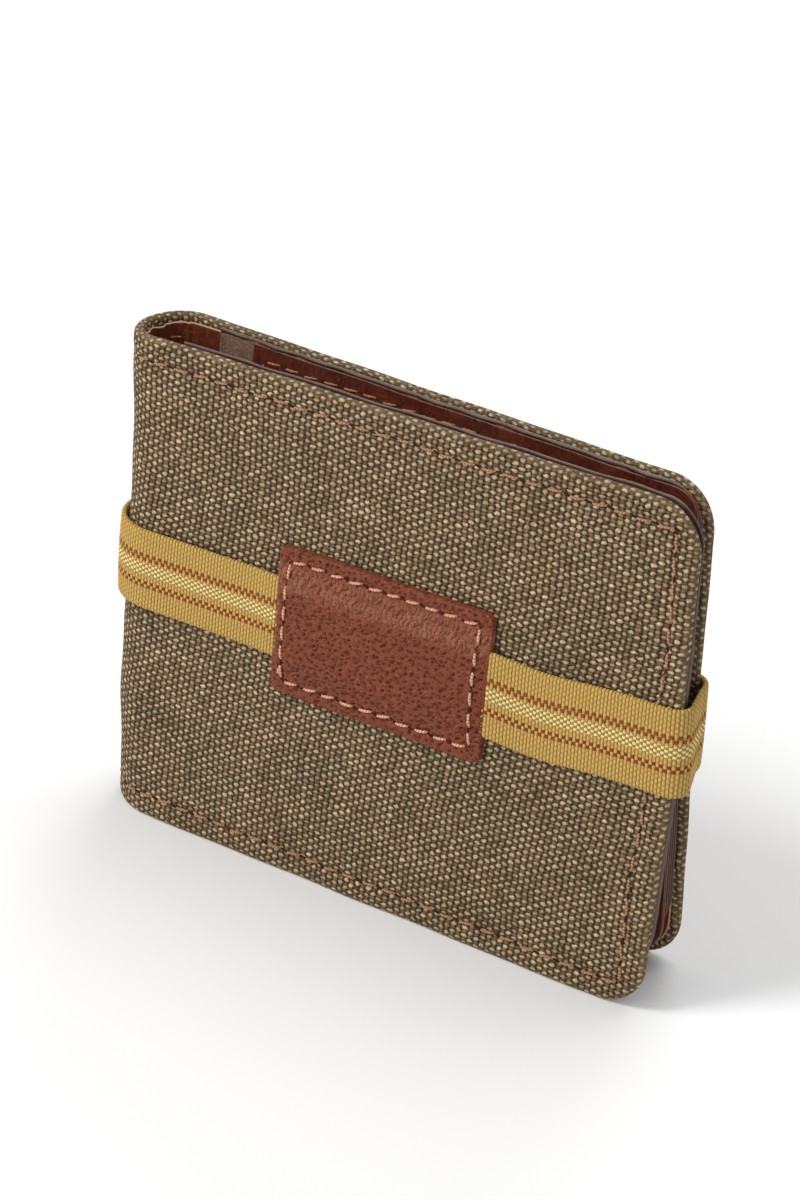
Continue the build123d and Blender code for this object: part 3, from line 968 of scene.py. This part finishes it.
def sheet_piece(name, side, box, radii, depth, thickness, material, hole=None, wave=0.0,
                edge_round=0.5, roll=0.0):
    """A flat sheet inside one half. Depth is that of its middle, as a function of x and z, wave
    is how far its top edge ripples, and roll how much thicker its turned top edge is."""
    extra_x, extra_z = (), ()
    if hole:
        extra_x = [hole[0] - o for o in SHEET_TICKS] + [hole[1] + o for o in SHEET_TICKS]
        extra_z = [hole[2] - o for o in SHEET_TICKS] + [hole[3] + o for o in SHEET_TICKS]
    x, z, distance = panel_grid(box, radii, extra_x, extra_z)
    shared, skip = rim(x.shape), None
    if hole:
        gap = beyond_hole(x, z, hole)
        distance = np.minimum(distance, np.maximum(gap, 0))
        shared |= np.abs(gap) < 1e-6
        inside = gap < 1e-6
        skip = inside[:-1, :-1] & inside[:-1, 1:] & inside[1:, 1:] & inside[1:, :-1]
    share = rounding(distance, thickness * edge_round)
    turned = roll * np.exp(-(((box[3] - z) / 0.9) ** 4)) * (1 + 0.3 * np.sin(x / 1.3 + 1))
    ripple = wave * hill(z, box[3], 5) * (np.sin(x / 3.1) + 0.6 * np.sin(x / 1.7 + 2))
    middle = depth(x, z) + turned / 2 + ripple
    reach = (thickness + turned) / 2 * share
    outer, inner = (on_cover(x, z, middle + sign * reach, side) for sign in (-1, 1))
    flat = np.stack([x, z, distance], -1)
    return shell(name, outer, inner, flat, material, shared=shared, skip=skip)


def build_half(label, side):
    """Board, bill divider and card pockets."""
    body, edge = f"{label}_half", EDGES[side]
    low, high = cad_low(f"{label}_board"), cad_high(f"{label}_board")
    box = (low[0] + 2, high[0] - (EDGE_X - edge) - 1, low[2] + 1, high[2] - 1)
    board = sheet_piece(f"{label}_stiffening_board", side, box, (1.0, 1.0),
                        lambda x, z: COVER / 2, BOARD_SHEET, BOARD)
    stand_for(board, body, "board", f"{label}_board")
    right = edge - DIVIDER_INSET[side]
    box = (PANEL_X, right, PANEL_INSET, HEIGHT - DIVIDER_DROP[side])
    divider = sheet_piece(f"{label}_divider_sheet", side, box,
                          (LOWER_RADIUS, CORNER_RADIUS - PANEL_INSET), lambda x, z: DIVIDER_DEPTH,
                          SHEET, DARK_PANEL, wave=0.14, roll=DIVIDER_ROLL[side])
    stand_for(divider, body, "pocket_leather", f"{label}_bill_divider")
    for i in (1, 2, 3):
        node = f"{label}_card_pocket_{i}"
        box = (PANEL_X + 0.2 * i, right - 0.1 * i, PANEL_INSET + 0.1 * i, cad_high(node)[2])
        pocket = sheet_piece(f"{label}_pocket_sheet_{i}", side, box, (LOWER_RADIUS, 0.0),
                             lambda x, z, i=i: DIVIDER_DEPTH + STACK_STEP * i, SHEET, DARK_PANEL,
                             wave=0.04)
        stand_for(pocket, body, "pocket_leather", node)


# Centre leaf with its window and tape -----------------------------------------------------------

LEAF_BOX = (LEAF_LOW[0], EDGES[BACK] - 1.0, LEAF_LOW[2], 88.9)
LEAF_RADII = (6.0, 6.0)
LEAF_DEPTHS = (2.95, 5.2)
LEAF_LEAN = 11.0
LEAF_SHEET = 0.26
LEAF_FACE_GAP = 0.24
WINDOW_LAP = 2.5
PANE = 0.08
TAPE_SHEET = 0.22
TAPE_LAP = 6.0


def leaf_depth(x, z):
    """The leaf stands free of the pockets and leans on the back half at its top. Like every
    sheet's depth it takes x, though here it doesn't depend on it."""
    return lerp(*LEAF_DEPTHS, ease((LEAF_BOX[3] - z) / LEAF_LEAN))


def leaf_face(x, z, height):
    return on_cover(x, z, leaf_depth(x, z) + LEAF_FACE_GAP + LEAF_SHEET / 2 + height, BACK)


def build_leaf():
    outline = (WINDOW_LOW[0], WINDOW_HIGH[0] - BACK_SHORT, WINDOW_LOW[2], WINDOW_HIGH[2])
    opening = tuple(v + lap for v, lap in zip(outline, (WINDOW_LAP, -WINDOW_LAP) * 2))
    front = sheet_piece("leaf_window_frame", BACK, LEAF_BOX, LEAF_RADII,
                        lambda x, z: leaf_depth(x, z) + LEAF_FACE_GAP, LEAF_SHEET, RUST_LEAF,
                        hole=opening)
    back = sheet_piece("leaf_back_panel", BACK, LEAF_BOX, LEAF_RADII,
                       lambda x, z: leaf_depth(x, z) - LEAF_FACE_GAP, LEAF_SHEET, RUST_LEAF)
    pane = sheet_piece("leaf_clear_pane", BACK, outline, (0.0, 0.0), leaf_depth, PANE, WINDOW)
    stand_for(front, "centre_leaf", "lining_leather", "leaf_front_sheet")
    stand_for(back, "centre_leaf", "lining_leather", "leaf_back_sheet")
    stand_for(pane, "centre_leaf", "window", "leaf_window")
    thread = Thread()
    thread.frame(leaf_face, LEAF_BOX, 2.4, (0.1, 0.1), 4.0, 0.74, np.random.RandomState(7),
                 radius=0.19, lift=0.13, pit=0.09)
    stand_for(thread.make("leaf_thread", INNER_THREAD), "centre_leaf", "inner_thread",
              "leaf_stitching")


def build_tape():
    """Cloth tape from the back half to the leaf, bending over the leaf's hinge line."""
    left, joined = TAPE_LOW[0], LEAF_BOX[0]

    def depth(x, z):
        share = np.clip((x - left) / (joined - left), 0, 1)
        pucker = 0.22 * np.sin(x / 0.7 + 0.4 * z) * (1 - share) * hill(z, HEIGHT, 9)
        lean = leaf_depth(x, np.minimum(z, LEAF_BOX[3]))
        return lerp(WALL + 0.55, lean, ease(share)) + pucker

    box = (left, joined + TAPE_LAP, TAPE_LOW[2], HEIGHT - 0.4)
    tape = sheet_piece("hinge_tape", BACK, box, (0.5, 0.5), depth, TAPE_SHEET, TAPE, edge_round=0.9)
    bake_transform(tape)
    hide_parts("fixed_hinge_tape", "leaf_hinge_tape")


# Elastic band ------------------------------------------------------------------------------------

BAND_SHEET = 0.9
# How far the band lies off the canvas on the covers and on the spine, and where that changes.
BAND_OFF = 0.35
SPINE_OFF = 0.5
SPINE_REACH = 22
SPINE_STRETCH = 1.02
# Where the band leaves each cover before its edge, and how far it stands off the edges.
TURN_IN = {FRONT: 2.4, BACK: 1.8}
STAND_OFF = {FRONT: 1.1, BACK: 2.3}
EDGE_SLACK = 0.9
# The patch's backing under the band, its gap to the canvas, and the band's way up to it.
BACKING = 0.5
PATCH_LIFT = 0.15
PATCH_RISE = 5.5
BAND_TICKS = (0, 0.06, 0.2, 0.5, 1.0)
BAND_STEP = 1.15
RIB_STEPS = 4
RIB_HEIGHT = 0.05
BAND_CURL = 0.12
BAND_SAG = 1.35


def patch_share(x):
    """1 where the band runs inside the patch, 0 away from it."""
    reach = (PATCH_HIGH[0] - PATCH_LOW[0]) / 2
    return ease((reach + PATCH_RISE - np.abs(x - PATCH_X)) / PATCH_RISE)


def bezier(a, b, c):
    """A curve from a to c that bends towards b, without its first point."""
    t = np.linspace(0, 1, 14)[1:, None]
    return (1 - t) ** 2 * a + 2 * t * (1 - t) * b + t**2 * c


def band_line(z):
    """The middle line of the band at one height, as (x, y), from the patch round to it."""
    start_x = spine_left(z) + spine_radius(z)

    def towards_spine(x):
        share = np.clip((start_x + SPINE_REACH - x) / SPINE_REACH, 0, 1) ** 2
        return share * (SPINE_OFF - BAND_OFF)

    def front_y(x):
        lift = lerp(BAND_OFF, BACKING + PATCH_LIFT, patch_share(x))
        return -(half(x, z, FRONT) + lift + BAND_SHEET / 2)

    x = np.linspace(PATCH_X + 1, EDGE_X - TURN_IN[FRONT], 60)
    y = front_y(x)
    front = np.stack([x, y], 1)
    slack = EDGE_SLACK * np.clip((BAND_HIGH[2] - z) / BAND_WIDTH, 0, 1) ** 2
    edge_x = EDGE_X + STAND_OFF[FRONT] + slack
    turned = np.array([edge_x - 0.1, y[-1] * 0.55])
    front_corner = bezier(front[-1], np.array([edge_x, y[-1] + 0.1]), turned)
    x = np.linspace(EDGES[BACK] - TURN_IN[BACK], start_x, 60)
    y = half(x, z, BACK) + BAND_OFF + BAND_SHEET / 2
    far_x = EDGES[BACK] + STAND_OFF[BACK]
    far = np.array([far_x, y[0] * 0.35])
    side = np.linspace(turned, far, 6)[1:]
    back_corner = bezier(far, np.array([far_x - 0.6, y[0] - 0.1]), np.array([x[0], y[0]]))
    back = np.stack([x, y + towards_spine(x)], 1)[1:]
    radius = spine_radius(z) + SPINE_OFF + BAND_SHEET / 2
    turn = np.linspace(math.pi / 2, 3 * math.pi / 2, 50)[1:]
    spine = np.stack([start_x + radius * SPINE_STRETCH * np.cos(turn), radius * np.sin(turn)], 1)
    x = np.linspace(start_x, PATCH_X - 1, 50)[1:]
    home = np.stack([x, front_y(x) - towards_spine(x)], 1)
    return np.concatenate([front, front_corner, side, back_corner, back, spine, home])


def resample(line, count):
    """A line divided evenly, and the length along it."""
    travelled = lengths(line)
    places = np.linspace(0, travelled[-1], count)
    return np.stack([np.interp(places, travelled, line[:, k]) for k in (0, 1)], 1), places


def build_band():
    close = np.array(BAND_TICKS)
    rows = np.arange(2.0, BAND_WIDTH - 1.4, BAND_STEP)
    heights = np.concatenate([close, rows, BAND_WIDTH - close[::-1]])[:, None]
    ribs = round(lengths(resample(band_line(BAND_Z), 400)[0])[-1] / RIB_PITCH)
    count = ribs * RIB_STEPS + 1
    middle = np.stack([resample(band_line(BAND_LOW[2] + h), count)[0] for h in heights[:, 0]])
    along = np.linspace(0, ribs * RIB_PITCH, count)[None, :]
    tangent = np.gradient(middle, axis=1)
    tangent /= np.linalg.norm(tangent, axis=2)[:, :, None]
    normal = np.stack([tangent[..., 1], -tangent[..., 0]], -1)
    edge = np.minimum(heights, BAND_WIDTH - heights)
    share = rounding(edge, 0.5)
    rib = RIB_HEIGHT * np.cos(2 * math.pi * (along / RIB_PITCH - 0.5))
    x, front = middle[..., 0], middle[..., 1] < 0
    z = BAND_LOW[2] + heights + rib * np.where(heights > BAND_WIDTH / 2, 1, -1) * (edge < 0.3)
    sag = BAND_SAG * hill(x, 31, 11) * front
    z = z - sag - (z - BAND_Z) * 0.05 * np.clip((10 - x) / 40, 0, 1) * front

    def at(offset):
        flat = middle + normal * offset[..., None]
        return np.concatenate([flat, z[..., None]], -1)

    curl = BAND_CURL * ((heights - BAND_WIDTH / 2) / (BAND_WIDTH / 2)) ** 2
    outer = at(BAND_SHEET / 2 * share + rib * share - curl)
    inner = at(-BAND_SHEET / 2 * share - curl)
    flat = np.stack(np.broadcast_arrays(along, heights - BAND_WIDTH / 2, edge), -1)
    band = shell("elastic_strap", outer, inner, flat, ELASTIC, (0, -1))
    stand_for(band, "band", "elastic", "elastic_band")


# Leather patch -----------------------------------------------------------------------------------

PATCH_BOX = (PATCH_LOW[0], PATCH_HIGH[0], PATCH_LOW[2], PATCH_HIGH[2])
PATCH_LEATHER = 0.9
PATCH_CORNER = 1.5
# Distance of the stitched seam from the patch's outline.
PATCH_SEAM = 2.4
PATCH_TICKS = (0, 0.03, 0.1, 0.2, 0.35, 0.6)
PATCH_STEP = 0.18
GRAIN_DEPTH = 0.9
GRAIN_LEVEL = 0.8


def patch_height(x, z):
    """Distance of the patch's front face from the canvas: raised over the band."""
    v = np.abs(z - BAND_Z) / (BAND_WIDTH / 2)
    raised = 1 / (1 + np.exp((v - 1.12) * 11))
    left, right, low, high = sides(x, z, PATCH_BOX)
    reach = np.minimum(np.minimum(left, right), np.minimum(low, high))
    near = np.clip(reach / PATCH_SEAM, 0, 1)
    pinch = 0.16 * hill(reach, PATCH_SEAM, 0.7)
    crown = 0.25 * np.clip(1 - v**2 * 0.6, 0, 1)
    return BACKING + PATCH_LIFT + PATCH_LEATHER + raised * near * BAND_SHEET + crown * near - pinch


def patch_point(x, z, out):
    """A point in front of the front cover at the patch."""
    return np.stack(np.broadcast_arrays(x, -(half(x, z, FRONT) + out), z), -1)


def patch_face(x, z, height):
    return patch_point(x, z, patch_height(x, z) + height)


def all_round_grid(box, radius, fine, step):
    """A grid whose four corners are rounded alike, and the distance of its lines to the edge."""
    x_low, x_high, z_low, z_high = box
    across, rows = ticks(x_low, x_high, step, fine), ticks(z_low, z_high, step, fine)
    centre = np.array([x_low + x_high, z_low + z_high]) / 2
    straight = np.array([x_high - x_low, z_high - z_low]) / 2 - radius
    offset = np.stack(np.meshgrid(across, rows), -1) - centre
    over = np.maximum(np.abs(offset) - straight, 0)
    length = np.hypot(over[..., 0], over[..., 1])
    scale = np.where(length > 0, over.max(-1) / np.maximum(length, 1e-9), 1)[..., None]
    place = centre + np.sign(offset) * (np.minimum(np.abs(offset), straight) + over * scale)
    distance = np.minimum(
        np.minimum(across - x_low, x_high - across)[None, :],
        np.minimum(rows - z_low, z_high - rows)[:, None],
    )
    return place[..., 0], place[..., 1], distance


def scatter(i, j, seed):
    """A repeatable number from 0 to 1 for a cell."""
    value = np.sin(i * 12.9898 + j * 78.233 + seed * 37.719) * 43758.5453
    return value - np.floor(value)


def cells(x, z, size, seed):
    """Distance to the middle of irregular cells of a size, and to the border between them."""
    i, j = np.floor(x / size), np.floor(z / size)
    nearest = np.full(x.shape, 9.0)
    second = nearest.copy()
    for di in (-1, 0, 1):
        for dj in (-1, 0, 1):
            cx = (i + di + 0.1 + 0.8 * scatter(i + di, j + dj, seed)) * size
            cz = (j + dj + 0.1 + 0.8 * scatter(i + di, j + dj, seed + 5)) * size
            away = np.hypot(x - cx, z - cz) / size
            second = np.minimum(second, np.maximum(away, nearest))
            nearest = np.minimum(nearest, away)
    return nearest, second - nearest


def leather_grain(x, z):
    """Height of the patch's grain from 0 to 1: pits between pebbles, and upright creases above
    the band."""
    bend_x = x + 0.2 * np.sin(1.9 * z + 0.7 * x) + 0.1 * np.sin(4.1 * z)
    bend_z = z + 0.2 * np.sin(2.1 * x - 0.4 * z)
    middle, border = cells(bend_x, bend_z * 1.15, 1.12, 1)
    pits = 1 - hill(middle, 0, 0.32)
    cracks = np.clip(border / 0.26, 0, 1)
    small = np.clip(cells(bend_x, bend_z, 0.62, 2)[1] / 0.4, 0, 1)
    top = hill(z, BAND_Z + BAND_WIDTH / 2 + 0.6, 2.6)
    crease = np.clip(cells(bend_x, z * 0.3, 0.85, 3)[1] / 0.35, 0, 1)
    rows = 0.5 + 0.5 * np.cos(2 * math.pi * x / 1.9 + np.sin(z * 0.9))
    grain = 0.58 * pits + 0.17 * cracks + 0.17 * small + 0.08 * rows
    # The lift at the top also lightens the patch there, since its painted highlight follows this
    # height.
    return grain * (1 - 0.7 * top) + crease * 0.7 * top + 0.1 * top


def build_patch():
    """Leather in front of the band, the layer behind it, and the stitches round both."""
    x, z, distance = all_round_grid(PATCH_BOX, PATCH_CORNER, PATCH_TICKS, PATCH_STEP)
    grain = leather_grain(x, z)
    flat = np.stack([x, z, grain], -1)
    relief = GRAIN_DEPTH * (grain - GRAIN_LEVEL) * np.clip(distance / 0.5, 0, 1)
    low = BACKING + PATCH_LIFT
    face = patch_height(x, z) + relief
    under = np.maximum(patch_height(x, z) - PATCH_LEATHER, low)
    middle = (face + low) / 2
    share = rounding(distance, 0.35)
    outer, inner = (patch_point(x, z, middle + (v - middle) * share) for v in (face, under))
    leather = shell("patch_leather_face", outer, inner, flat, PATCH)
    centre = PATCH_LIFT + BACKING / 2
    reach = BACKING / 2 * rounding(distance, 0.3)
    outer, inner = (patch_point(x, z, centre + sign * reach) for sign in (1, -1))
    backing = shell("patch_leather_back", outer, inner, flat, PATCH)
    thread = Thread()
    inset = PATCH_SEAM - 0.1
    thread.frame(patch_face, PATCH_BOX, inset, (0.22, 0.1), 3.65, 0.72, np.random.RandomState(21),
                 radius=0.25, lift=0.12, pit=0.24)
    left, low = PATCH_BOX[0] + inset, PATCH_BOX[2] + inset
    thread.stitch(patch_face, (left - 0.75, low + 1.0), (left - 0.2, low + 3.0), 0.23, 0.2)
    stitches = thread.make("patch_thread_row", PATCH_THREAD)
    stand_for(leather, "band", "patch_leather", "leather_patch")
    stand_for(backing, "band", "patch_leather", "patch_backing")
    stand_for(stitches, "band", "patch_thread", "patch_stitching")


# Stage ---------------------------------------------------------------------------------------------

# The camera's turn, tilt and roll in degrees, fitted to the photographed edges.
CAMERA_ANGLES = (-32.37, 26.07, 4.26)
CAMERA_PLACE = (294.99, -467.5, 324.67)
FOCAL_LENGTH = 110.3
# Place in metres, size and power of each light.
LIGHTS = {
    "key": ((-0.45, -0.55, 0.85), 0.35, 6.4),
    "front": ((-0.55, -0.95, 0.3), 0.5, 3),
    "fill": ((0.8, -0.55, 0.35), 0.6, 1.2),
    "top": ((0.1, 0.3, 1.0), 0.6, 3),
    "back": ((-0.3, 0.95, 0.5), 0.6, 3.5),
}
SKY_STRENGTH = 0.42
FLOOR_GREY = 0.86
FLOOR_SIZE = 3.0


def add_object(name, data):
    made = bpy.data.objects.new(name, data)
    bpy.context.scene.collection.objects.link(made)
    return made


def build_camera():
    data = bpy.data.cameras.new("camera")
    data.lens = FOCAL_LENGTH
    data.sensor_width = 36
    data.clip_start, data.clip_end = 0.01, 10
    camera = add_object("camera", data)
    turn, tilt, roll = map(math.radians, CAMERA_ANGLES)
    forward = Vector((
        math.sin(turn) * math.cos(tilt), math.cos(turn) * math.cos(tilt), -math.sin(tilt)
    ))
    level = Vector((math.cos(turn), -math.sin(turn), 0))
    upright = level.cross(forward)
    right = math.cos(roll) * level + math.sin(roll) * upright
    up = -math.sin(roll) * level + math.cos(roll) * upright
    x, y, z = CAMERA_PLACE
    place = Matrix.Translation((x * MM, (y + MID_Y) * MM, z * MM))
    camera.matrix_world = place @ Matrix((right, up, -forward)).transposed().to_4x4()
    bpy.context.scene.camera = camera


def build_lights():
    centre = Vector((0, MID_Y * MM, HEIGHT / 2 * MM))
    for name, (place, size, power) in LIGHTS.items():
        data = bpy.data.lights.new(name, "AREA")
        data.shape = "DISK"
        data.size = size
        data.energy = power
        light = add_object(name, data)
        light.location = place
        light.rotation_euler = (centre - Vector(place)).to_track_quat("-Z", "Y").to_euler()
    world = bpy.data.worlds.new("studio")
    world.use_nodes = True
    sky = world.node_tree.nodes["Background"]
    sky.inputs["Color"].default_value = (1, 1, 1, 1)
    sky.inputs["Strength"].default_value = SKY_STRENGTH
    bpy.context.scene.world = world


def build_floor():
    mesh = bpy.data.meshes.new("floor")
    signs = ((-1, -1), (1, -1), (1, 1), (-1, 1))
    mesh.from_pydata([(x * FLOOR_SIZE, y * FLOOR_SIZE, 0) for x, y in signs], [], [(0, 1, 2, 3)])
    paint = bpy.data.materials.new("floor_paint")
    paint.use_nodes = True
    shader = paint.node_tree.nodes["Principled BSDF"]
    shader.inputs["Base Color"].default_value = (FLOOR_GREY, FLOOR_GREY, FLOOR_GREY, 1)
    shader.inputs["Roughness"].default_value = 0.9
    mesh.materials.append(paint)
    add_object("floor", mesh)


bpy.context.scene.view_settings.view_transform = "Standard"
build_camera()
build_lights()
build_floor()
build_cover()
build_edge_stitching()
build_half("back", BACK)
build_half("front", FRONT)
build_leaf()
build_tape()
build_band()
build_patch()
